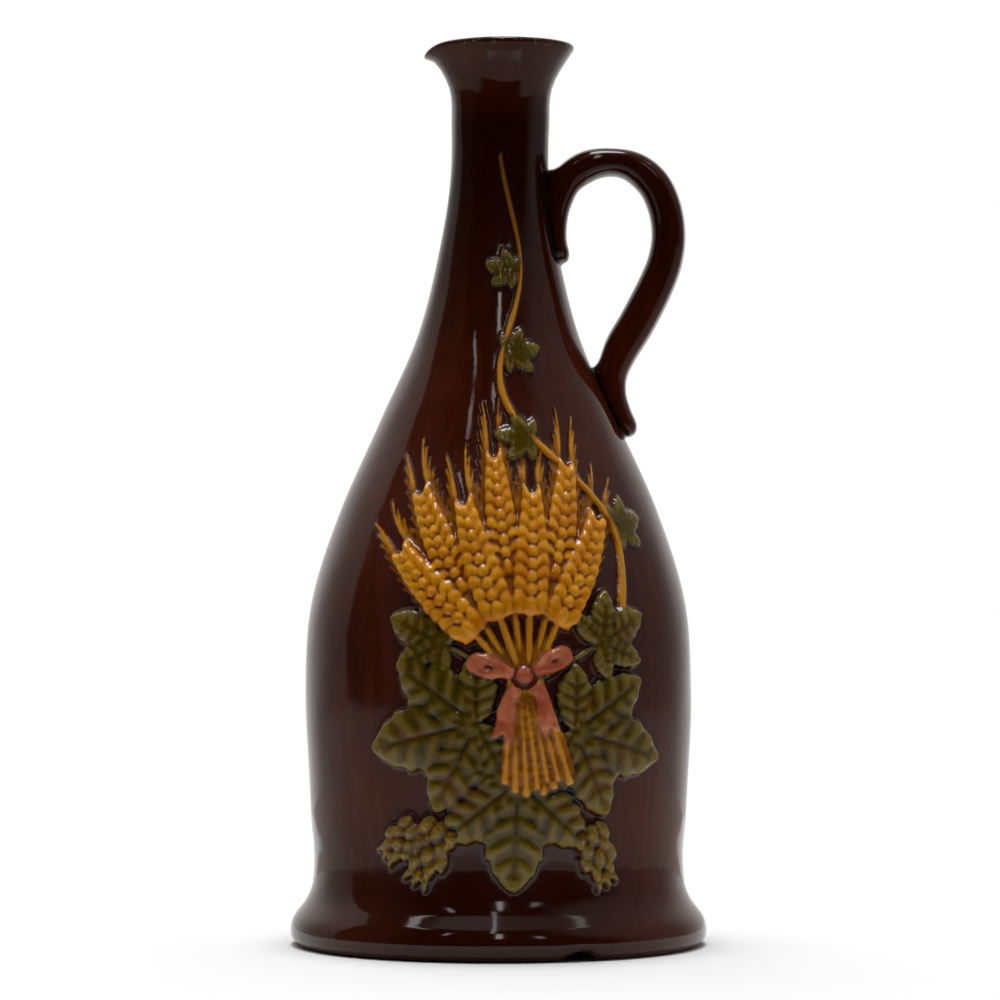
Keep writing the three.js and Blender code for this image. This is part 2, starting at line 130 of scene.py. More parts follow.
# Where the handle is joined to the wall
JOINT_HALF_WIDTH = 8.5
JOINT_MARGIN = 5.0
LOWER_JOINT = 26.0  # height of the lower joint over the lower tip
SEAM_WINDOW = (12.0, 8.0, 3.0)  # half width, below the lower tip and above the top of the handle
SEAM_REACH = 1.5  # of the dark glaze in the joint
SEAM_FILLET = 1.7
SEAM_PULL = 0.6
SEAM_ROUNDS = 6
FAR = 99.0  # a distance beyond every reach
STRAP_WINDOW = (7.5, 4.0, 6.0)  # half width, below the lower tip and above the top of the handle
OFF_THE_WALL = 0.6  # from here outwards a point is on the strap
UNDER_THE_SKIN = 1.2  # down to here a point is on the outside
RIM_BAND = 2.4
BARE_BELOW = 0.04  # the underside has no glaze

# Fineness: coarse rows and columns, each halved up to LEVELS times where the form needs it
LEVELS = 3
FINE = 2 ** LEVELS
COLUMNS = 128
OUTSIDE_ROWS = 92
TOLERANCE = 0.065  # largest gap between a flat cell and the form
TINT_TOLERANCE = 0.3

# Relief, laid out flat in millimetres across and up the belly. Bearings are degrees to the left of upright.
AMBER, OLIVE, PINK, STRAW, CONE = range(1, 6)
TIE = (6.0, 68.0)
LEAN = 8.0
EAR_COUNT = 7
EAR_SPREAD = 13.2
EAR_NEAR, EAR_FAR = 15.0, 24.0
EAR_LENGTH, EAR_WIDTH, EAR_RISE = 28.0, 9.4, 2.5
EAR_EDGE = 0.8  # height of a grain's edge over the ground
GRAIN_ROWS = 8
FRONT_LIFT = 0.8
AWN_LENGTH = 13.0
AWN_WIDTH, AWN_RISE = 1.1, 0.7
STALK_BELOW = 27.0
LEAF_RISE = 2.3
LEAVES = [  # across, up, bearing, length, lift
    (-5.0, 57.0, 104.0, 27.5, 0.2),
    (18.0, 55.0, -106.0, 26.0, 0.2),
    (4.5, 43.0, 178.0, 26.5, 0.0),
    (-13.0, 76.0, 66.0, 15.5, 0.0),
    (25.0, 76.0, -62.0, 15.0, 0.0),
]
# Lobes of a leaf: bearing from its middle, share of its length, half width as a share of the lobe's length
LOBES = [
    (0, 1.0, 0.3),
    (50, 0.86, 0.29),
    (-50, 0.86, 0.29),
    (104, 0.62, 0.3),
    (-104, 0.62, 0.3),
]
CONES = [  # across, up, bearing, length, width
    (-13.5, 33.0, 152.0, 15.0, 9.5),
    (22.5, 32.0, -158.0, 14.0, 9.0),
    (-20.0, 32.0, 128.0, 11.5, 8.0),
]
TENDRIL_START, TENDRIL_END = (33.0, 84.0), (3.0, 196.0)
TENDRIL_SWAY = (5.9, 13.0)  # at its ends and half way up
TENDRIL_SWINGS = 1.55
TENDRIL_BEND = 1.5
TENDRIL_WIDTHS = (2.6, 0.7)  # at its start and its tip
TENDRIL_RISE = 1.2
TENDRIL_STEM = 2.2
TENDRIL_LEAF_RISE = 1.3
TENDRIL_LEAF_DROOP = 1.25
TENDRIL_LEAVES = [  # share of the way up, bearing, length
    (0.17, -60.0, 9.0),
    (0.36, 66.0, 8.5),
    (0.55, -64.0, 8.0),
    (0.73, 58.0, 7.0),
]
TENDRIL_STEPS = 120

# How the glaze lies on the relief
SOFTENING = 0.34  # how far it rounds the carving off
POOL_REACH = 1.3
POOL_FULL = 0.42  # a hollow or a ridge of this much is a full one
HALO_REACH = 3.2
HALO_GAIN = 2.2
CONE_SLIPS = (0.35, 0.65)  # amber and olive

# Glaze colours, linear
BROWN_DEEP, BROWN_WARM = (0.020, 0.0030, 0.0006), (0.098, 0.0170, 0.0050)
MAUVE = (0.05, 0.025, 0.03)
AMBER_DEEP, AMBER_MID, AMBER_LIGHT = (0.21, 0.042, 0.001), (0.62, 0.182, 0.002), (0.86, 0.36, 0.012)
OLIVE_POOL, OLIVE_MID, OLIVE_LIGHT = (0.004, 0.006, 0.005), (0.078, 0.049, 0.002), (0.18, 0.125, 0.02)
OLIVE_BROWN = (0.11, 0.050, 0.003)
PINK_DEEP, PINK_MID, PINK_LIGHT = (0.12, 0.018, 0.006), (0.42, 0.087, 0.037), (0.62, 0.19, 0.09)
STRAW_DEEP, STRAW_LIGHT = (0.24, 0.070, 0.003), (0.66, 0.27, 0.015)
SEAM_BLACK = (0.004, 0.006, 0.005)
WORN = (0.30, 0.21, 0.16)
CLAY_DARK, CLAY_PALE = (0.30, 0.19, 0.12), (0.46, 0.34, 0.24)
GRIT = (0.10, 0.05, 0.03)
DIRT = (0.14, 0.09, 0.06)

# Heights between which the brown glaze changes from dark to warm, and from warm to dark at the neck
WARM_FROM = (16, 44)
WARM_TO = (138, 190)
WARM_MOUTH = (203, 214)
TENDRIL_TIP = (150, 196)

# Floor and light. Directions are degrees to the right of the front, and of elevation.
FLOOR_RADIUS = 420.0
FLOOR_SIDES = 96
FLOOR_PALE = ((0.945, 0.93, 0.93), (0.965, 0.95, 0.95))
# Painted shade: the floor's darker colour in reflections, a table dim away from the lamps
FLOOR_SHADE_IN_REFLECTIONS = (0.48, 0.43, 0.40)  # its colour in reflections, outside the photograph's frame
FRAME_FRONT, FRAME_SPREAD = 132, 0.13  # reach of the frame to the front and sides, and growth to the back
FRAME_FADE = 25
TENT_LIFT = (0, 40)
TENT_LEFT, TENT_RIGHT, TENT_BEHIND = (0.3, 0.62), (0.27, 0.34), 0.54
ROOM_LEFT = 0.05
LOW_SIDES = 0.45
STRIP = 5.0
CAP = 13.0
SLITS = [  # direction, width, lowest and highest elevation, strength
    (0, 4.2, 28, 48, 7.0),
    (26, 4.6, 28, 38, 3.6),
    (-36, 4.0, 40, 49, 4.2),
    (-5, 3.2, 50, 76, 5.0),
]
LOW_TINT, HIGH_TINT = (1.0, 0.98, 0.96), (0.95, 0.98, 1.0)
BACKDROP = (1.0, 1.0, 1.0)

CAMERA_PLACE = (0.375, -1023, 96.75)
CAMERA_PITCH = 0.784
CAMERA_LENS, CAMERA_SENSOR = 147.3, 36


def radius_at(z):
    """Outer radius of the bottle at heights, a smooth curve through the stations."""
    step = np.diff(HEIGHTS)
    rise = np.diff(RADII) / step
    inner = (rise[:-1] * step[1:] + rise[1:] * step[:-1]) / (step[:-1] + step[1:])
    slopes = np.concatenate([[0.0], inner, [MOUTH_FLARE]])
    i = np.clip(np.searchsorted(HEIGHTS, z, side="right") - 1, 0, len(step) - 1)
    t = np.clip((z - HEIGHTS[i]) / step[i], 0, 1)
    low = (2 * t ** 3 - 3 * t ** 2 + 1) * RADII[i] + (t ** 3 - 2 * t ** 2 + t) * step[i] * slopes[i]
    high = (3 * t ** 2 - 2 * t ** 3) * RADII[i + 1] + (t ** 3 - t ** 2) * step[i] * slopes[i + 1]
    return low + high


def smoothstep(value, low, high):
    t = np.clip((value - low) / (high - low), 0, 1)
    return t * t * (3 - 2 * t)


def wall_at(z):
    return WALL + (RIM_WALL - WALL) * smoothstep(z, MOUTH_Z - RIM_FADE, MOUTH_Z)


def steps(rows):
    return np.arange(rows * FINE) / (rows * FINE)


def line(start, end, rows):
    t = steps(rows)[:, None]
    return np.array(start) * (1 - t) + np.array(end) * t


def arc(centre, size, start, end, rows):
    angle = np.radians(start + (end - start) * steps(rows))
    return np.stack([centre[0] + size[0] * np.cos(angle), centre[1] + size[1] * np.sin(angle)], 1)


def half_section():
    """Fine points (radius, height) of the half section: underside, outside, rim, inside and floor.

    Also gives the range of fine rows that the outside takes."""
    ring_inner = RING_OUTER - RING_WIDTH
    edge = steps(3)
    step_down = np.stack([ring_inner - RECESS + 2 * RECESS * edge, RECESS * (1 - smoothstep(edge, 0, 1))], 1)
    foot = arc((RING_OUTER, FOOT_Z), (FOOT_R - RING_OUTER, FOOT_Z), -90, 0, 5)
    top = MOUTH_Z - RIM_BELOW
    outside_z = FOOT_Z + (top - FOOT_Z) * steps(OUTSIDE_ROWS)
    outside = np.stack([radius_at(outside_z), outside_z], 1)
    lean = math.atan(MOUTH_FLARE)
    rim = RIM_WALL * math.cos(lean) / 2
    centre = (radius_at(top) - rim * math.cos(lean), top + rim * math.sin(lean))
    over_rim = arc(centre, (rim, rim), -math.degrees(lean), 180 - math.degrees(lean), 6)
    inside_top = centre[1] + rim * math.sin(lean)
    inside_foot = FLOOR + FLOOR_CORNER
    inside_z = inside_top + (inside_foot - inside_top) * steps(40)
    inside = np.stack([radius_at(inside_z) - wall_at(inside_z), inside_z], 1)
    corner = float(radius_at(inside_foot)) - WALL - FLOOR_CORNER
    parts = [
        line((HUB, RECESS), (ring_inner - RECESS, RECESS), 4),
        step_down,
        line((ring_inner + RECESS, 0), (RING_OUTER, 0), 2),
        foot,
        outside,
        over_rim,
        inside,
        arc((corner, inside_foot), (FLOOR_CORNER, FLOOR_CORNER), 0, -90, 4),
        line((corner, FLOOR), (HUB, FLOOR), 5),
        np.array([[HUB, FLOOR]]),
    ]
    first = sum(len(p) for p in parts[:4])
    return np.concatenate(parts), first, first + len(outside)


def offset(place, bearing, distance, stretch=1.0):
    angle = math.radians(bearing)
    return (place[0] - distance * math.sin(angle) * stretch, place[1] + distance * math.cos(angle))


def dome(squared, power=0.5):
    return np.clip(1 - squared, 0, None) ** power


class Relief:
    """A height field over the flat layout, with the slip colour that lies on top at each point."""

    def __init__(self, across, up):
        self.across, self.up = across, up
        self.height = np.zeros((len(up), len(across)))
        self.tint = np.zeros(self.height.shape, int)

    def near(self, centre, reach, bearing=0.0, stretch=1.0):
        """The window round a place, and its coordinates (across, along) turned to a bearing."""
        rows = slice(*np.searchsorted(self.up, [centre[1] - reach, centre[1] + reach]))
        wide = reach * stretch
        columns = slice(*np.searchsorted(self.across, [centre[0] - wide, centre[0] + wide]))
        a = (self.across[columns] - centre[0])[None, :] / stretch
        z = (self.up[rows] - centre[1])[:, None]
        t = math.radians(bearing)
        return (rows, columns), a * math.cos(t) + z * math.sin(t), -a * math.sin(t) + z * math.cos(t)

    def put(self, window, height, tint, over=False):
        """Lays a form on what is there. It shows where it stands higher, or everywhere when it goes over."""
        wins = (height > 0) if over else (height > self.height[window])
        self.height[window] = np.where(wins, height, self.height[window])
        self.tint[window] = np.where(wins, tint, self.tint[window])


def grain(relief, centre, bearing, size, rise, lift, tint):
    """A plump grain, fuller at its tip, with a fine crease. Its edges cut into what it lies on."""
    length, width = size
    window, across, along = relief.near(centre, length, bearing)
    u = along / (length / 2)
    body = dome(u * u + (across / (width / 2) / (1 - 0.25 * u)) ** 2, 0.6)
    crease = 0.22 * np.exp(-((across / 0.35) ** 2)) * body
    relief.put(window, np.where(body > 0, rise * (0.8 + 0.3 * u) * body - crease + lift, 0), tint, over=True)


def ridge(relief, start, end, width, rise, tint, bow=0.0, taper=0.7, lift=0.0, over=False):
    """A thin strand from start to end, bowed sideways."""
    length = math.dist(start, end)
    bearing = math.degrees(math.atan2(start[0] - end[0], end[1] - start[1]))
    window, across, along = relief.near(start, length + width + abs(bow), bearing)
    t = along / length
    across = across - bow * 4 * t * (1 - t)
    half = width / 2 * (1 - taper * np.clip(t, 0, 1))
    body = dome((across / half) ** 2) * (t > 0) * (t < 1)
    relief.put(window, np.where(body > 0, rise * (1 - 0.6 * taper * t) * body + lift, 0), tint, over)


def ear(relief, foot, bearing, lift):
    """An ear of barley: two side rows of grains with awns, and a middle row over them."""
    pitch = EAR_LENGTH / (GRAIN_ROWS + 1.2)
    long = pitch * 2.35
    low = EAR_EDGE + lift
    end = offset(foot, bearing, EAR_LENGTH)
    ridge(relief, foot, end, EAR_WIDTH * 0.8, 0.3, AMBER, taper=0.3, lift=low, over=True)
    for row in range(GRAIN_ROWS, -1, -1):
        share = row / GRAIN_ROWS
        taper = 1 - 0.42 * share ** 2 - 0.12 * (1 - share) ** 3
        middle = offset(foot, bearing, long * 0.42 + row * pitch)
        for side in (-1, 1):
            splay = side * (24 - 12 * share)
            place = offset(middle, bearing + 90 * side, EAR_WIDTH * 0.27 * taper)
            tip = offset(place, bearing + splay, long * 0.45)
            end = offset(tip, bearing + splay * 0.55, AWN_LENGTH * (0.75 + 0.25 * share))
            ridge(relief, tip, end, AWN_WIDTH, AWN_RISE, STRAW, bow=side * 0.6, taper=0.4)
            size = (long, EAR_WIDTH * 0.52 * taper)
            grain(relief, place, bearing + splay, size, EAR_RISE - EAR_EDGE, low, AMBER)
        place = offset(foot, bearing, long * 0.3 + row * pitch)
        size = (long * 0.8, EAR_WIDTH * 0.4 * taper)
        grain(relief, place, bearing, size, EAR_RISE * 1.2 - EAR_EDGE, low, AMBER)


def cone(relief, foot, bearing, length, width):
    """A hop cone: overlapping scales in rows of two and three."""
    rows = 4
    pitch = length / (rows + 0.9)
    for row in range(rows, -1, -1):
        share = row / rows
        wide = width * (0.72 + 0.5 * share - 0.75 * share ** 2)
        for side in (-0.32, 0.32) if row % 2 else (-0.5, 0, 0.5):
            place = offset(offset(foot, bearing, pitch * (row + 0.75)), bearing - 90, side * wide)
            size = (pitch * 2, wide * 0.52)
            grain(relief, place, bearing - side * 50, size, 1.7 - 0.9 * abs(side), 1.2, CONE)


def leaf(relief, stem, bearing, length, rise, lift=0.0, stretch=1.0):
    """A lobed leaf with toothed edges, a groove along each lobe and ribs between the teeth."""
    window, across, along = relief.near(stem, length * 1.15, bearing, stretch)
    height = np.zeros_like(across)
    for turn, share, half in LOBES:
        t = math.radians(turn)
        out = along * math.cos(t) - across * math.sin(t)
        side = np.abs(across * math.cos(t) + along * math.sin(t))
        reach = length * share
        u = out / reach
        teeth = 1 + 0.13 * ((u * 7) % 1 - 0.5)
        bulge = np.sin(math.pi * np.clip(u, 0, 1) ** 0.92) ** 0.62
        v = side / np.maximum(reach * half * teeth * bulge, 0.01)
        body = dome(v * v, 0.42) * (u > 0) * (u < 1)
        ribs = 1 + 0.13 * np.cos(2 * math.pi * (u * 5.5 - v * 0.8)) * np.clip(v * 3, 0, 1)
        lobe = rise * (0.35 + 0.65 * body) * (body > 0) * ribs
        groove = 0.27 * rise * np.exp(-((side / (0.12 + 0.014 * length)) ** 2)) * (1 - 0.5 * np.clip(u, 0, 1))
        height = np.where(lobe > height, lobe - groove * (u < 0.93), height)
    relief.put(window, np.where(height > 0, height + lift, 0), OLIVE)


def stalks(relief):
    """Stalks above the tie, one to an ear, and a fuller fan of cut ends below it."""
    middle = (EAR_COUNT - 1) / 2
    for i in range(EAR_COUNT):
        fan = (middle - i) * EAR_SPREAD
        front = i % 2 == 0
        at_tie = offset(TIE, LEAN + 90, (middle - i) * 0.95)
        foot = offset(TIE, fan + LEAN, (EAR_NEAR if front else EAR_FAR) + 2)
        ridge(relief, at_tie, foot, 1.9, 1.6, STRAW, taper=0.0, lift=0.5 * front)
        for k in (-0.25, 0.25):
            reach = STALK_BELOW + 1.5 * math.cos(5 * i + 9 * k)
            cut = offset(TIE, 180 + LEAN - 0.42 * (fan + k * EAR_SPREAD), reach)
            ridge(relief, offset(at_tie, LEAN + 90, k), cut, 2.2, 1.9, STRAW, taper=0.0, lift=1.0, over=True)


def ribbon_loop(relief, bearing, length, width):
    centre = offset(TIE, bearing, length / 2)
    window, across, along = relief.near(centre, length, bearing)
    u = along / (length / 2)
    half = width / 2 * (0.6 + 0.4 * u)
    body = dome(u * u + (across / half) ** 2, 0.45)
    hollow = 1.5 * np.exp(-(((u - 0.2) / 0.36) ** 2 + (across / (half * 0.42)) ** 2))
    pleats = 0.18 * np.cos(across * 5) * np.clip(-u, 0, 1)
    relief.put(window, np.where(body > 0, 2.7 * body - hollow + pleats + 0.9, 0), PINK, over=True)


def ribbon_tail(relief, bearing, length, wave):
    window, across, along = relief.near(TIE, length + 2, bearing)
    t = along / length
    across = across - wave * np.sin(t * 5)
    half = 2.3 * (0.45 + 0.55 * np.clip(t * 1.6, 0, 1))
    inside = (t > 0) & (t < 0.84 + 0.16 * np.abs(across) / half) & (np.abs(across) < half)
    fold = 0.35 * np.sin(t * 9 + across * 0.8)
    height = 1.7 * (1 - 0.25 * (across / half) ** 2) + fold + 1.5
    relief.put(window, np.where(inside, height, 0), PINK, over=True)


def bow(relief):
    ribbon_tail(relief, 156, 17.0, 1.2)
    ribbon_tail(relief, -150, 15.5, -1.1)
    ribbon_loop(relief, 74, 14.0, 8.6)
    ribbon_loop(relief, -62, 13.2, 8.2)
    grain(relief, TIE, 0, (5.8, 5.6), 2.9, 0.6, PINK)


def stretch_at(up):
    """The flat layout is as wide as the belly at every height: its stretch against the real wall."""
    return BELLY_R / float(radius_at(up))


def strand(relief, path, widths, rise, tint):
    """A strand along a list of places, with true widths at each height."""
    for start, end, width in zip(path[:-1], path[1:], widths):
        stretch = stretch_at((start[1] + end[1]) / 2)
        step = (end[0] - start[0]) / stretch, end[1] - start[1]
        length = math.hypot(*step)
        window, across, along = relief.near(start, length + width, stretch=stretch)
        t = np.clip((across * step[0] + along * step[1]) / length ** 2, 0, 1)
        away = np.hypot(across - t * step[0], along - t * step[1])
        relief.put(window, rise * dome((away / (width / 2)) ** 2), tint)


def tendril_at(t):
    drift = TENDRIL_END[0] + (TENDRIL_START[0] - TENDRIL_END[0]) * (1 - t) ** TENDRIL_BEND
    sway = TENDRIL_SWAY[0] + (TENDRIL_SWAY[1] - TENDRIL_SWAY[0]) * math.sin(math.pi * t)
    across = drift + sway * math.sin(2 * math.pi * TENDRIL_SWINGS * t)
    return across, TENDRIL_START[1] + (TENDRIL_END[1] - TENDRIL_START[1]) * t


def tendril(relief):
    shares = [i / TENDRIL_STEPS for i in range(TENDRIL_STEPS + 1)]
    start, tip = TENDRIL_WIDTHS
    widths = [start + (tip - start) * t + 0.3 * math.sin(44 * t) * (1 - t) for t in shares]
    strand(relief, [tendril_at(t) for t in shares], widths, TENDRIL_RISE, STRAW)
    for at, bearing, length in TENDRIL_LEAVES:
        stem = tendril_at(at)
        stretch = stretch_at(stem[1])
        foot = offset(stem, bearing, TENDRIL_STEM, stretch)
        strand(relief, [stem, foot], [1.1], 0.8, STRAW)
        leaf(relief, foot, bearing * TENDRIL_LEAF_DROOP, length, TENDRIL_LEAF_RISE, 0, stretch)


def sheaf(relief):
    middle = (EAR_COUNT - 1) / 2
    for i in sorted(range(EAR_COUNT), key=lambda i: i % 2 == 0):
        front = i % 2 == 0
        bearing = (middle - i) * EAR_SPREAD + LEAN
        ear(relief, offset(TIE, bearing, EAR_NEAR if front else EAR_FAR), bearing, FRONT_LIFT * front)
    stalks(relief)


def carve(across, up):
    relief = Relief(across, up)
    for a, z, bearing, length, lift in LEAVES:
        leaf(relief, (a, z), bearing, length, LEAF_RISE, lift)
        strand(relief, [(a, z), offset(TIE, LEAN + 180, 3)], [1.6], 1.6, OLIVE)
    for a, z, bearing, length, width in CONES:
        cone(relief, (a, z), bearing, length, width)
    tendril(relief)
    sheaf(relief)
    bow(relief)
    return relief


def blur(field, reach, cell):
    """A field blurred over a reach in millimetres, round the bottle and up it."""
    rows, columns = field.shape
    up = np.fft.fftfreq(rows)[:, None] * (reach / cell[0])
    around = np.fft.rfftfreq(columns)[None, :] * (reach / cell[1])
    weight = np.exp(-2 * (math.pi ** 2) * (up ** 2 + around ** 2))
    return np.fft.irfft2(np.fft.rfft2(field) * weight, s=field.shape)


def waviness(angle, z):
    """Slow unevenness of a wall that was thrown and turned by hand, less at the foot and the mouth."""
    a, u = angle, z / 40.0
    steady = smoothstep(z, 0, 14) * (1 - smoothstep(z, MOUTH_Z - 12, MOUTH_Z))
    return steady * (
        0.07 * np.sin(2 * a + 1.7 * u + 0.4)
        + 0.05 * np.sin(5 * a - 2.9 * u + 1.9)
        + 0.035 * np.sin(9 * a + 4.3 * u + 0.7)
        + 0.02 * np.sin(14 * a - 7.1 * u + 2.6)
    )


def cells_over(field, level, tolerance):
    """Which cells of a level stray from the field by more than a tolerance when they are laid flat."""
    s = FINE >> level
    rows = (field.shape[0] - 1) // s
    columns = field.shape[1] // s
    closed = np.concatenate([field, field[:, :1]], 1)
    corners = closed[::s, ::s]
    t = np.arange(s) / s
    low = corners[:-1, None, :-1, None] * (1 - t)[None, None, None, :]
    low = low + corners[:-1, None, 1:, None] * t[None, None, None, :]
    high = corners[1:, None, :-1, None] * (1 - t)[None, None, None, :]
    high = high + corners[1:, None, 1:, None] * t[None, None, None, :]
    flat = low * (1 - t)[None, :, None, None] + high * t[None, :, None, None]
    real = closed[:-1, :-1].reshape(rows, s, columns, s)
    return np.abs(flat - real).max(axis=(1, 3)) > tolerance


def spread(mask):
    """A mask grown by one cell on every side, round the bottle as well."""
    rows = np.pad(mask, ((1, 1), (0, 0)))
    tall = rows[:-2] | rows[1:-1] | rows[2:]
    return tall | np.roll(tall, 1, 1) | np.roll(tall, -1, 1)


def parents(mask):
    return mask.reshape(mask.shape[0] // 2, 2, mask.shape[1] // 2, 2).any(axis=(1, 3))


def splits(fields, wanted):
    """For each level, which of its cells are split in four. Cells side by side differ by one level at most.

    A cell is split where a field strays from it, and down to two levels where that is wanted."""
    found = []
    for level in range(LEVELS - 1, -1, -1):
        split = np.any([cells_over(field, level, tolerance) for field, tolerance in fields], axis=0)
        if level < 2:
            split |= np.repeat(np.repeat(wanted, 2 ** level, 0), 2 ** level, 1)
        if found:
            split |= parents(spread(found[0]))
        found.insert(0, split)
    return found


def faces_of(split, columns):
    """Corner lists of the uncut cells, with the extra corners where a finer cell lies alongside."""
    faces = []
    exists = np.ones_like(split[0])
    for level in range(LEVELS + 1):
        s = FINE >> level
        cut = split[level] if level < LEVELS else np.zeros_like(exists)
        i, j = np.nonzero(exists & ~cut)
        padded = np.pad(cut, ((1, 1), (0, 0)))
        wide = cut.shape[1]
        below, above = padded[i, j], padded[i + 2, j]
        left, right = cut[i, (j - 1) % wide], cut[i, (j + 1) % wide]
        half = s // 2

        def corner(di, dj):
            return (i * s + di) * columns + (j * s + dj) % columns

        def between(di, dj, there):
            return np.where(there, corner(di, dj), -1)

        ring = np.stack([
            corner(0, 0), between(0, half, below),
            corner(0, s), between(half, s, right),
            corner(s, s), between(s, half, above),
            corner(s, 0), between(half, 0, left),
        ], 1)
        faces.extend([c for c in face if c >= 0] for face in ring.tolist())
        exists = np.repeat(np.repeat(cut, 2, 0), 2, 1)
    return faces


def shape_neck(points):
    """Moves points of the neck to make it lean and to make the pouring lip at -X."""
    x, y, z = points.T
    share = smoothstep(z, MOUTH_Z - LIP_BELOW_RIM, MOUTH_Z)
    squeezed = smoothstep(z, MOUTH_Z - PINCH_BELOW_RIM, MOUTH_Z)
    away = np.abs(np.degrees(np.arctan2(y, -x)))
    lip = np.exp(-((away / LIP_HALF_ANGLE) ** 2))
    pinch = np.exp(-(((away - LIP_PINCH_ANGLE) / LIP_HALF_ANGLE) ** 2))
    grow = 1 + (share * LIP_REACH * lip - squeezed * LIP_PINCH * pinch) / np.hypot(x, y)
    lean = LEAN_OUT * smoothstep(z, *NECK_LEAN)
    return np.stack([x * grow + lean, y * grow, z - share * LIP_DROP * lip], 1)


def chip_foot(points):
    """A chip in the lower edge of the foot, to the right of the front."""
    x, y, z = points.T
    away = (np.degrees(np.arctan2(x, -y)) - CHIP_ANGLE) * math.radians(FOOT_R) / CHIP_HALF_WIDTH
    begin, full = CHIP_INWARD
    near = smoothstep(np.hypot(x, y), RING_OUTER - begin, RING_OUTER - full) * np.clip(1 - z / FOOT_Z, 0, 1)
    return np.stack([x, y, z + CHIP_DEPTH * np.exp(-(away ** 4)) * near], 1)


def make_mesh(name, points, faces):
    mesh = bpy.data.meshes.new(name)
    mesh.from_pydata((points * MM).tolist(), [], faces)
    mesh.update()
    return mesh


def bottle():
    """Mesh of the bottle, and the relief's fields on its fine grid for the finish."""
    section, first, last = half_section()
    columns = COLUMNS * FINE
    angle = -math.pi + 2 * math.pi * np.arange(columns) / columns
    up = section[first:last, 1]
    relief = carve(angle * BELLY_R, up)
    cell = (up[1] - up[0], 2 * math.pi * BELLY_R / columns)
    height = np.clip(blur(relief.height, SOFTENING, cell), 0, None)
    slip = [blur((relief.tint == tint) * 1.0, SOFTENING, cell) for tint in (AMBER, OLIVE, PINK, STRAW, CONE)]
    slip = [np.clip(field, 0, 1) for field in slip]
    raised = np.zeros((len(section), columns))
    raised[first:last] = height
    tangent = np.gradient(section, axis=0)
    normal = np.stack([tangent[:, 1], -tangent[:, 0]], 1)
    normal /= np.linalg.norm(normal, axis=1)[:, None]
    normal[first:last] = (1, 0)
    outer = np.zeros(len(section))
    outer[first - 4 * FINE:last + FINE] = 1
    uneven = waviness(angle[None, :], section[:, 1][:, None]) * outer[:, None]
    lift = raised + uneven
    radius = section[:, 0][:, None] + lift * normal[:, 0][:, None]
    level = section[:, 1][:, None] + lift * normal[:, 1][:, None]
    points = np.stack([radius * np.sin(angle), -radius * np.cos(angle), level], 2).reshape(-1, 3)
    tinted = np.zeros_like(raised)
    tinted[first:last] = sum((k + 1) * field for k, field in enumerate(slip))
    coarse_z = section[:-1:FINE, 1][:, None]
    coarse_angle = np.degrees(angle[::FINE])[None, :]
    near_handle = np.abs(coarse_angle - 90) < np.degrees(JOINT_HALF_WIDTH / radius_at(coarse_z))
    upper = (coarse_z > HANDLE_UPPER_TIP - JOINT_MARGIN) & (coarse_z < HANDLE_TOP)
    lower = (coarse_z > HANDLE_LOWER_TIP - JOINT_MARGIN) & (coarse_z < HANDLE_LOWER_TIP + LOWER_JOINT)
    near_handle &= (upper | lower) & (np.arange(len(coarse_z)) * FINE < last)[:, None]
    split = splits([(radius, TOLERANCE), (tinted, TINT_TOLERANCE)], near_handle)
    faces = faces_of(split, columns)
    ring = list(range(0, columns, FINE))
    end = (len(section) - 1) * columns
    faces.append(ring[::-1])
    faces.append([end + c for c in ring])
    used = np.unique(np.concatenate([np.array(f) for f in faces]))
    number = np.full(len(points), -1)
    number[used] = np.arange(len(used))
    faces = [number[f].tolist() for f in faces]
    mesh = make_mesh("bottle", chip_foot(shape_neck(points[used])), faces)
    return mesh, finish_fields(height, slip, up, cell)


def finish_fields(height, slip, up, cell):
    """What the glaze follows, on the outside's fine grid: slips, hollows, ridges and the relief's halo."""
    hollow = blur(height, POOL_REACH, cell) - height
    covered = np.clip(sum(slip), 0, 1)
    halo = np.clip(HALO_GAIN * blur(covered, HALO_REACH, cell), 0, 1) * (1 - covered)
    fields = {
        "amber": slip[AMBER - 1] + CONE_SLIPS[0] * slip[CONE - 1],
        "olive": slip[OLIVE - 1] + CONE_SLIPS[1] * slip[CONE - 1],
        "pink": slip[PINK - 1],
        "straw": slip[STRAW - 1],
        "pool": np.clip(hollow / POOL_FULL, 0, 1),
        "ridge": np.clip(-hollow / POOL_FULL, 0, 1),
        "halo": halo,
    }
    return fields, up[0], cell[0]


def smooth_curve(points, per_span=40):
    """A centripetal Catmull-Rom curve through points."""
    p = np.vstack([2 * points[0] - points[1], points, 2 * points[-1] - points[-2]])
    t = (np.arange(per_span) / per_span)[:, None]
    dense = []
    for a, b, c, d in zip(p, p[1:], p[2:], p[3:]):
        gap = [math.sqrt(np.linalg.norm(v)) for v in (b - a, c - b, d - c)]
        leave = ((b - a) / gap[0] - (c - a) / (gap[0] + gap[1]) + (c - b) / gap[1]) * gap[1]
        arrive = ((c - b) / gap[1] - (d - b) / (gap[1] + gap[2]) + (d - c) / gap[2]) * gap[1]
        dense.append(
            (2 * t ** 3 - 3 * t ** 2 + 1) * b + (t ** 3 - 2 * t ** 2 + t) * leave
            + (3 * t ** 2 - 2 * t ** 3) * c + (t ** 3 - t ** 2) * arrive
        )
    return np.vstack(dense + [points[-1:]])


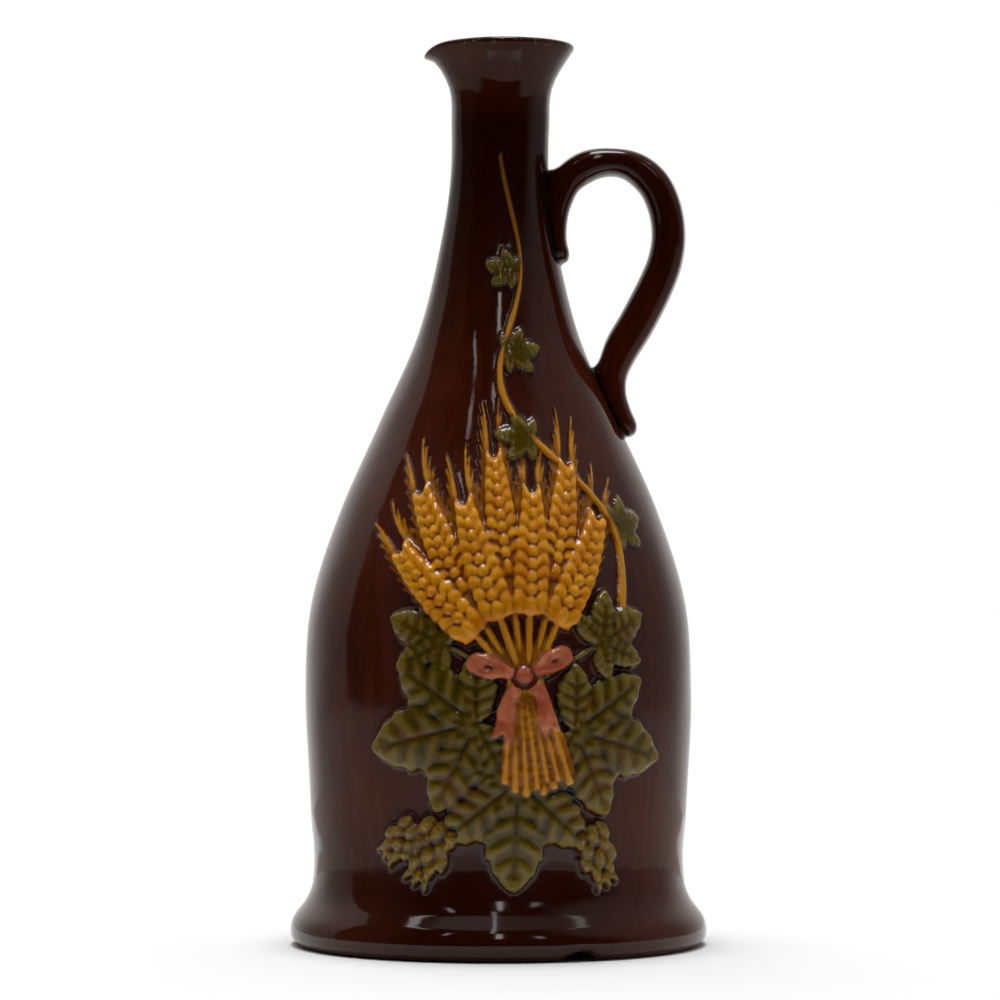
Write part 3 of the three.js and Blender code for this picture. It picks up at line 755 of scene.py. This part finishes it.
def handle_line():
    """Points and directions at even steps along the handle's centreline, as (x, z)."""
    rise = HANDLE_TOP - HANDLE_UPPER_TIP
    fall = HANDLE_UPPER_TIP - HANDLE_LOWER_TIP
    spots = [(out, HANDLE_UPPER_TIP + share * rise) for out, share in HANDLE_ABOVE]
    spots += [(out, HANDLE_UPPER_TIP - share * fall) for out, share in HANDLE_BELOW]
    curve = smooth_curve(np.array([(float(radius_at(z)) + out * HANDLE_REACH, z) for out, z in spots]))
    run = np.concatenate([[0], np.cumsum(np.linalg.norm(np.diff(curve, axis=0), axis=1))])
    even = np.linspace(0, run[-1], HANDLE_STEPS + 1)
    points = np.stack([np.interp(even, run, curve[:, k]) for k in (0, 1)], 1)
    along = np.gradient(points, axis=0)
    return points, along / np.linalg.norm(along, axis=1)[:, None]


def strap_section(t):
    """Half thickness and half width of the strap, with t from its upper tip to its lower tip."""
    full = np.minimum(smoothstep(t, *UPPER_ROOT), 1 - smoothstep(t, *LOWER_ROOT))
    arch = np.exp(-(((t - ARCH_AT) / ARCH_SPAN) ** 2))
    low = smoothstep(t, *SWELL)
    middle = STRAP[0] + (STRAP_ARCH_THICKNESS - STRAP[0]) * arch + (STRAP_LOW_THICKNESS - STRAP[0]) * low
    end = np.minimum(np.minimum(t, 1 - t), TIP_SPAN) / TIP_SPAN
    tip = np.maximum(np.sqrt(1 - (1 - end) ** 2), TIP_BLUNT)
    thickness = STRAP_ENDS[0] + (middle - STRAP_ENDS[0]) * full
    width = STRAP_ENDS[1] + (STRAP[1] - STRAP_ENDS[1]) * full
    return thickness * tip / 2, width * tip / 2


def handle():
    """The pulled strap: a squarish oval section with shallow grooves along its outer face."""
    centre, along = handle_line()
    t = np.linspace(0, 1, HANDLE_STEPS + 1)
    half_thickness, half_width = (v[:, None] for v in strap_section(t))
    turn = 2 * math.pi * np.arange(HANDLE_SIDES) / HANDLE_SIDES
    power = 2 / STRAP_SQUARENESS
    inward = np.sign(np.cos(turn)) * np.abs(np.cos(turn)) ** power
    aside = np.sign(np.sin(turn)) * np.abs(np.sin(turn)) ** power
    groove = sum(depth * np.exp(-(((aside - place) / GROOVE_SPAN) ** 2)) for place, depth in STRAP_GROOVES)
    groove = groove * smoothstep(-inward, 0.4, 0.9)
    pulled = smoothstep(t, *UPPER_ROOT) * (1 - smoothstep(t, *LOWER_ROOT))
    out = inward[None, :] * half_thickness + groove[None, :] * pulled[:, None]
    sway = 0.12 * np.sin(19 * t + 0.6)[:, None]
    for (at, span, height), facing in ((UPPER_WEB, -1), (LOWER_WEB, 1)):
        bump = height * np.exp(-(((t - at) / span) ** 2))[:, None]
        out = out + facing * bump * np.clip(facing * inward, 0, 1) * (1 - aside ** 2)
    x = centre[:, :1] + along[:, 1:] * out
    z = centre[:, 1:] - along[:, :1] * out
    y = -aside[None, :] * half_width * (1 + 0.02 * np.sin(31 * t)[:, None]) + sway
    points = np.stack([x, y, z], 2).reshape(-1, 3)
    faces = []
    for i in range(HANDLE_STEPS):
        for k in range(HANDLE_SIDES):
            low, high = i * HANDLE_SIDES, (i + 1) * HANDLE_SIDES
            after = (k + 1) % HANDLE_SIDES
            faces.append((low + k, high + k, high + after, low + after))
    last = HANDLE_STEPS * HANDLE_SIDES
    faces.append(tuple(range(HANDLE_SIDES)))
    faces.append(tuple(last + k for k in range(HANDLE_SIDES - 1, -1, -1)))
    return make_mesh("handle", points, faces)


def joined(name, first, second):
    """Two closed meshes made one, without what lies inside."""
    body, other = (bpy.data.objects.new(mesh.name, mesh) for mesh in (first, second))
    for thing in (body, other):
        bpy.context.scene.collection.objects.link(thing)
    join = body.modifiers.new("join", "BOOLEAN")
    join.operation = "UNION"
    join.solver = "MANIFOLD"
    join.object = other
    made = body.evaluated_get(bpy.context.evaluated_depsgraph_get())
    mesh = bpy.data.meshes.new_from_object(made)
    mesh.name = name
    for thing in (body, other):
        bpy.data.objects.remove(thing)
    return mesh


def sample(field, start, cell, angle, z):
    """Values of a fine field at points, given their angle from the front and their height."""
    rows, columns = field.shape
    row = np.clip((z - start) / cell, 0, rows - 1.001)
    column = (angle + math.pi) / (2 * math.pi) * columns
    i, j = row.astype(int), column.astype(int)
    t, s = row - i, column - j
    low = field[i, j % columns] * (1 - s) + field[i, (j + 1) % columns] * s
    high = field[i + 1, j % columns] * (1 - s) + field[i + 1, (j + 1) % columns] * s
    return low * (1 - t) + high * t


def in_window(points, window):
    """Which points lie round the handle: a half width, and reaches below and above it."""
    x, y, z = points.T
    half_width, below, above = window
    return (x > 0) & (np.abs(y) < half_width) & (z > HANDLE_LOWER_TIP - below) & (z < HANDLE_TOP + above)


def seam_distance(points, body, strap):
    """Distance of each point from the line where the handle meets the wall, in millimetres."""
    distance = np.full(len(points), FAR)
    close = np.nonzero(in_window(points, SEAM_WINDOW))[0]
    trees = [
        BVHTree.FromPolygons([v.co for v in mesh.vertices], [p.vertices for p in mesh.polygons])
        for mesh in (body, strap)
    ]
    on_seam = []
    for i in close:
        place = Vector(points[i] * MM)
        if all(tree.find_nearest(place)[3] < 0.00001 for tree in trees):
            on_seam.append(i)
    tree = KDTree(len(on_seam))
    for k, i in enumerate(on_seam):
        tree.insert(Vector(points[i]), k)
    tree.balance()
    for i in close:
        distance[i] = tree.find(Vector(points[i]))[2]
    return distance


def fill_seam(mesh, points, distance):
    """Lets the glaze run into the joint: points near it are drawn towards their neighbours."""
    share = SEAM_PULL * np.clip(1 - distance / SEAM_FILLET, 0, 1)[:, None]
    edges = np.empty(len(mesh.edges) * 2, int)
    mesh.edges.foreach_get("vertices", edges)
    a, b = edges.reshape(-1, 2).T
    count = np.bincount(np.concatenate([a, b]), minlength=len(points))[:, None]
    for _ in range(SEAM_ROUNDS):
        total = np.zeros_like(points)
        np.add.at(total, a, points[b])
        np.add.at(total, b, points[a])
        points = points + share * (total / count - points)
    mesh.vertices.foreach_set("co", (points * MM).ravel())
    mesh.update()
    return points


def add_field(mesh, name, values):
    mesh.attributes.new(name, "FLOAT", "POINT").data.foreach_set("value", values.astype(np.float32))


def flask_mesh():
    body, (fields, start, cell) = bottle()
    strap = handle()
    mesh = joined("flask", body, strap)
    points = np.empty(len(mesh.vertices) * 3)
    mesh.vertices.foreach_get("co", points)
    points = points.reshape(-1, 3) / MM
    distance = seam_distance(points, body, strap)
    points = fill_seam(mesh, points, distance)
    x, y, z = points.T
    away = np.hypot(x, y)
    beyond = away - radius_at(z)
    on_handle = in_window(points, STRAP_WINDOW) & (beyond > OFF_THE_WALL)
    outside = (beyond > -UNDER_THE_SKIN) & (z > FOOT_Z) & ~on_handle
    for name, field in fields.items():
        add_field(mesh, name, np.clip(sample(field, start, cell, np.arctan2(x, -y), z), 0, 1) * outside)
    add_field(mesh, "seam", np.clip(1 - distance / SEAM_REACH, 0, 1))
    add_field(mesh, "rim", smoothstep(z, MOUTH_Z - RIM_BAND, MOUTH_Z) * (away > MOUTH_R - RIM_WALL - 2))
    add_field(mesh, "strap", on_handle * 1.0)
    for mesh_used in (body, strap):
        bpy.data.meshes.remove(mesh_used)
    mesh.shade_smooth()
    return mesh


class Shader:
    """Short names for building the nodes of a material or of the world."""

    def __init__(self, owner):
        owner.use_nodes = True
        self.tree = owner.node_tree
        self.surface = self.tree.nodes.get("Principled BSDF")

    def node(self, kind, inputs=None, **settings):
        made = self.tree.nodes.new(kind)
        for key, value in settings.items():
            setattr(made, key, value)
        for key, value in (inputs or {}).items():
            self.put(made.inputs[key], value)
        return made

    def put(self, socket, value):
        if isinstance(value, bpy.types.NodeSocket):
            self.tree.links.new(value, socket)
        else:
            socket.default_value = value

    def math(self, operation, *values, clamp=False):
        made = self.node("ShaderNodeMath", operation=operation, use_clamp=clamp)
        for socket, value in zip(made.inputs, values):
            self.put(socket, value)
        return made.outputs[0]

    def mix(self, share, first, second, blend="MIX"):
        made = self.node("ShaderNodeMix", data_type="RGBA", blend_type=blend)
        for socket, value in zip((made.inputs[0], made.inputs[6], made.inputs[7]), (share, first, second)):
            self.put(socket, (*value, 1) if isinstance(value, tuple) and len(value) == 3 else value)
        return made.outputs[2]

    def ramp(self, value, low, high, out_low=0.0, out_high=1.0):
        made = self.node("ShaderNodeMapRange", interpolation_type="SMOOTHSTEP")
        for socket, given in zip(made.inputs, (value, low, high, out_low, out_high)):
            self.put(socket, given)
        return made.outputs[0]

    def field(self, name):
        return self.node("ShaderNodeAttribute", attribute_name=name).outputs["Fac"]

    def place(self, scale=(1, 1, 1)):
        """Object coordinates in millimetres, stretched by a scale."""
        coordinates = self.node("ShaderNodeTexCoord").outputs["Object"]
        scaled = self.node("ShaderNodeVectorMath", {0: coordinates}, operation="MULTIPLY")
        scaled.inputs[1].default_value = tuple(s / MM for s in scale)
        return scaled.outputs[0]

    def noise(self, size, detail=2.0, scale=(1, 1, 1), roughness=0.5, warp=0.0):
        """Soft noise with features of a size in millimetres."""
        inputs = {"Vector": self.place(scale), "Scale": 1 / size, "Detail": detail}
        made = self.node("ShaderNodeTexNoise", inputs)
        made.inputs["Roughness"].default_value = roughness
        made.inputs["Distortion"].default_value = warp
        return made.outputs["Fac"]

    def cells(self, size, feature="F1", scale=(1, 1, 1)):
        inputs = {"Vector": self.place(scale), "Scale": 1 / size}
        return self.node("ShaderNodeTexVoronoi", inputs, feature=feature).outputs


def brown(s, up, across):
    """The brown ground: dark where the glaze is thick, warm and streaked where it runs thin in random clouds;
    darker towards the foot and up the neck, warmer at the mouth; at the foot its front and back are painted
    shade and its left and right sides painted light.
    """
    clouds = s.noise(34, detail=2, scale=(1, 1, 0.6), warp=0.3)
    streaks = s.noise(2.6, detail=3, scale=(1, 1, 0.1))
    # Painted light and shade at the foot: its front and back stay dark brown, its left and right sides turn
    # warmer as if lit
    lit_foot_sides = s.ramp(s.math("ABSOLUTE", across), 16, 42, 0.15, 0.7)
    # thin carries the warm share, the foot's painted light and shade included
    thin = s.math("MULTIPLY", s.ramp(up, *WARM_FROM, lit_foot_sides, 1), s.ramp(up, *WARM_TO, 1, 0.12))
    warmth = s.math("ADD", s.ramp(clouds, 0.25, 0.85, 0.25, 0.75), s.ramp(streaks, 0.35, 0.75, 0, 0.25))
    thin = s.math("ADD", thin, s.ramp(up, *WARM_MOUTH, 0, 0.7))
    thin = s.math("MAXIMUM", thin, s.math("MULTIPLY", s.field("strap"), 0.5))
    ground = s.mix(s.math("MULTIPLY", warmth, thin), BROWN_DEEP, BROWN_WARM)
    return s.mix(s.math("MULTIPLY", s.field("halo"), 0.3), ground, MAUVE)


def slips(s, up, fine):
    """The coloured slips of the relief, darker where the glaze pools and paler on the ridges."""
    pool, ridge = s.field("pool"), s.field("ridge")
    mottle = s.noise(5, detail=4, warp=0.6)
    amber = s.mix(s.ramp(mottle, 0.35, 0.7), AMBER_MID, AMBER_LIGHT)
    amber = s.mix(s.math("MULTIPLY", ridge, 0.5), amber, AMBER_LIGHT)
    amber = s.mix(s.ramp(s.math("MULTIPLY_ADD", fine, 0.3, pool), 0.15, 0.95), amber, AMBER_DEEP)

    patches = s.noise(11, detail=2, warp=0.8)
    olive = s.mix(s.ramp(patches, 0.5, 0.62), OLIVE_MID, OLIVE_BROWN)
    olive = s.mix(s.ramp(s.math("MULTIPLY_ADD", fine, 0.2, ridge), 0.1, 0.8), olive, OLIVE_LIGHT)
    olive = s.mix(s.ramp(pool, 0.1, 0.75), olive, OLIVE_POOL)

    pink = s.mix(s.ramp(mottle, 0.4, 0.65), PINK_MID, PINK_LIGHT)
    pink = s.mix(s.ramp(pool, 0.05, 0.8), pink, PINK_DEEP)

    straw = s.mix(s.ramp(s.math("ADD", ridge, mottle), 0.4, 1.1), STRAW_DEEP, STRAW_LIGHT)
    straw = s.mix(s.ramp(up, *TENDRIL_TIP, 0, 0.9), straw, STRAW_DEEP)
    return (("olive", olive), ("straw", straw), ("amber", amber), ("pink", pink))


def glaze():
    material = bpy.data.materials.new("brown_glaze")
    s = Shader(material)
    across, _, up = s.node("ShaderNodeSeparateXYZ", {0: s.place()}).outputs
    fine = s.noise(0.9, detail=3)
    colour = brown(s, up, across)
    for name, slip in slips(s, up, fine):
        edge = s.math("MULTIPLY_ADD", s.math("SUBTRACT", fine, 0.5), 0.5, s.field(name))
        colour = s.mix(s.ramp(edge, 0.3, 0.7), colour, slip)
    cracks = s.cells(4.6, "DISTANCE_TO_EDGE")["Distance"]
    crazing = s.ramp(cracks, 0.004, 0.016, 0.3, 0)
    colour = s.mix(s.math("MULTIPLY", crazing, s.field("amber")), colour, AMBER_DEEP)
    specks = s.ramp(s.cells(3.1)["Distance"], 0.03, 0.06, 0.75, 0)
    colour = s.mix(specks, colour, BROWN_DEEP)
    colour = s.mix(s.ramp(s.field("seam"), 0.25, 0.7), colour, SEAM_BLACK)
    worn = s.math("MULTIPLY", s.ramp(s.field("rim"), 0.6, 0.95), s.ramp(s.noise(1.1, detail=4), 0.6, 0.68))
    colour = s.mix(worn, colour, WORN)
    s.put(s.surface.inputs["Base Color"], colour)

    smear = s.noise(17, detail=4, warp=0.5)
    rough = s.math("MULTIPLY_ADD", worn, 2.0, smear)
    s.put(s.surface.inputs["Roughness"], s.ramp(rough, 0.3, 1.6, 0.05, 0.3))
    s.surface.inputs["IOR"].default_value = 1.42
    s.surface.inputs["Specular IOR Level"].default_value = 0.42

    peel = s.noise(2.4, detail=1)
    slow = s.noise(13, detail=1)
    pits = s.ramp(s.cells(5.3)["Distance"], 0.02, 0.055)
    uneven = s.math("MULTIPLY_ADD", peel, 0.16, slow)
    uneven = s.math("MULTIPLY_ADD", pits, 0.25, uneven)
    bump = s.node("ShaderNodeBump", {"Height": uneven, "Strength": 1.0, "Distance": 0.10 * MM})
    s.put(s.surface.inputs["Normal"], bump.outputs[0])
    return material


def bare_stoneware():
    material = bpy.data.materials.new("bare_stoneware")
    s = Shader(material)
    body = s.mix(s.noise(3, detail=5), CLAY_DARK, CLAY_PALE)
    body = s.mix(s.ramp(s.cells(0.9)["Distance"], 0.12, 0.3), GRIT, body)
    dirt = s.ramp(s.noise(6, detail=4), 0.5, 0.7, 0, 0.6)
    s.put(s.surface.inputs["Base Color"], s.mix(dirt, body, DIRT))
    s.put(s.surface.inputs["Roughness"], s.ramp(s.noise(2), 0.3, 0.7, 0.7, 0.95))
    grain_height = s.noise(0.5, detail=4)
    bump = s.node("ShaderNodeBump", {"Height": grain_height, "Strength": 0.6, "Distance": 0.12 * MM})
    s.put(s.surface.inputs["Normal"], bump.outputs[0])
    return material


def floor():
    """A pale round table top. Outside the photograph's frame it is darker, but only in reflections."""
    material = bpy.data.materials.new("floor")
    s = Shader(material)
    x, y, _ = s.node("ShaderNodeSeparateXYZ", {0: s.place()}).outputs
    aside = s.math("SUBTRACT", s.math("ABSOLUTE", x), s.math("MULTIPLY_ADD", y, FRAME_SPREAD, FRAME_FRONT))
    beyond = s.math("MAXIMUM", aside, s.math("SUBTRACT", -FRAME_FRONT, y))
    pale = s.mix(s.noise(180, detail=4), *FLOOR_PALE)
    seen = s.node("ShaderNodeLightPath").outputs["Is Camera Ray"]
    # Painted shade: beyond the frame the table is darker in reflections, as if the lamps' light fell off
    # there
    shade_in_reflections = s.math("MULTIPLY", s.ramp(beyond, 0, FRAME_FADE), s.math("SUBTRACT", 1, seen))
    s.put(s.surface.inputs["Base Color"], s.mix(shade_in_reflections, pale, FLOOR_SHADE_IN_REFLECTIONS))
    s.surface.inputs["Roughness"].default_value = 0.9
    s.surface.inputs["Specular IOR Level"].default_value = 0.0
    turns = [2 * math.pi * k / FLOOR_SIDES for k in range(FLOOR_SIDES)]
    points = [(FLOOR_RADIUS * MM * math.cos(t), FLOOR_RADIUS * MM * math.sin(t), 0) for t in turns]
    mesh = bpy.data.meshes.new("floor")
    mesh.from_pydata(points, [], [list(range(FLOOR_SIDES))])
    mesh.materials.append(material)
    made = bpy.data.objects.new("floor", mesh)
    bpy.context.scene.collection.objects.link(made)
    return made


def studio():
    """Light by direction: a pale tent behind and beside, a dark room in front, and soft panels overhead."""
    world = bpy.data.worlds.new("studio")
    bpy.context.scene.world = world
    s = Shader(world)
    direction = s.node("ShaderNodeTexCoord").outputs["Generated"]
    x, y, z = s.node("ShaderNodeSeparateXYZ", {0: direction}).outputs
    turn = s.math("MULTIPLY", s.math("ARCTAN2", x, s.math("MULTIPLY", y, -1)), 180 / math.pi)
    lift = s.math("MULTIPLY", s.math("ARCSINE", z), 180 / math.pi)
    away = s.math("ABSOLUTE", turn)

    def from_left_to_right(left, right):
        return s.ramp(turn, -20, 20, left, right)

    def between(value, low, high, soft):
        rise = s.ramp(value, low - soft, low + soft)
        return s.math("MULTIPLY", rise, s.ramp(value, high - soft, high + soft, 1, 0))

    # The tent is open to the left and right of the dark room, and above it
    low, high = (from_left_to_right(*pair) for pair in zip(TENT_LEFT, TENT_RIGHT))
    tent = s.math("ADD", s.ramp(lift, *TENT_LIFT, low, high), s.ramp(away, 118, 156, 0, TENT_BEHIND))
    right_edge = s.ramp(lift, 0, 45, 78, 44)
    right = s.ramp(s.math("SUBTRACT", turn, right_edge), -16, 16)
    left = s.ramp(turn, -104, -101, 1, 0)
    above = s.ramp(lift, 57, 60)
    light = s.math("MULTIPLY", tent, s.math("MAXIMUM", s.math("MAXIMUM", right, left), above))

    # Faint light from the room's left, and from below the edge of the table at both sides
    light = s.math("MAXIMUM", light, s.math("MULTIPLY", s.ramp(turn, -70, -52, 1, 0), ROOM_LEFT))
    below = s.math("MULTIPLY", s.ramp(lift, -4, -1, 1, 0), s.ramp(away, 36, 60))
    light = s.math("MAXIMUM", light, s.math("MULTIPLY", below, LOW_SIDES))

    # A thin bright edge under the overhead panel, the lamp straight above, and narrow windows
    strip = s.math("MULTIPLY", between(lift, 54.2, 56.3, 0.4), between(away, 58, 96, 8))
    light = s.math("ADD", light, s.math("MULTIPLY", strip, from_left_to_right(STRIP, STRIP / 2)))
    light = s.math("ADD", light, s.math("MULTIPLY", s.ramp(lift, 76, 79), CAP))
    for at, wide, lowest, highest, strength in SLITS:
        across = between(turn, at - wide / 2, at + wide / 2, 0.3)
        slit = s.math("MULTIPLY", across, between(lift, lowest, highest, 2))
        light = s.math("ADD", light, s.math("MULTIPLY", slit, strength))

    # The camera sees a plain white ground instead
    shown = s.tree.nodes["Background"]
    s.put(shown.inputs["Color"], (*BACKDROP, 1))
    lit = s.node("ShaderNodeBackground", {"Color": s.mix(above, LOW_TINT, HIGH_TINT), "Strength": light})
    seen = s.node("ShaderNodeLightPath").outputs["Is Camera Ray"]
    either = s.node("ShaderNodeMixShader", {0: seen, 1: lit.outputs[0], 2: shown.outputs[0]})
    s.put(s.tree.nodes["World Output"].inputs["Surface"], either.outputs[0])


def camera():
    data = bpy.data.cameras.new("camera")
    data.lens = CAMERA_LENS
    data.sensor_width = CAMERA_SENSOR
    made = bpy.data.objects.new("camera", data)
    made.location = [place * MM for place in CAMERA_PLACE]
    made.rotation_euler = (math.radians(90 + CAMERA_PITCH), 0, 0)
    bpy.context.scene.collection.objects.link(made)
    bpy.context.scene.camera = made


def flask():
    mesh = flask_mesh()
    mesh.materials.clear()
    mesh.materials.append(glaze())
    mesh.materials.append(bare_stoneware())
    for face in mesh.polygons:
        if face.center.z < BARE_BELOW * MM:
            face.material_index = 1
    made = bpy.data.objects.new("stoneware_flask", mesh)
    bpy.context.scene.collection.objects.link(made)
    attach(made, "root")
    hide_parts("flask")


flask()
floor()
studio()
camera()
bpy.context.scene.view_settings.view_transform = "Standard"
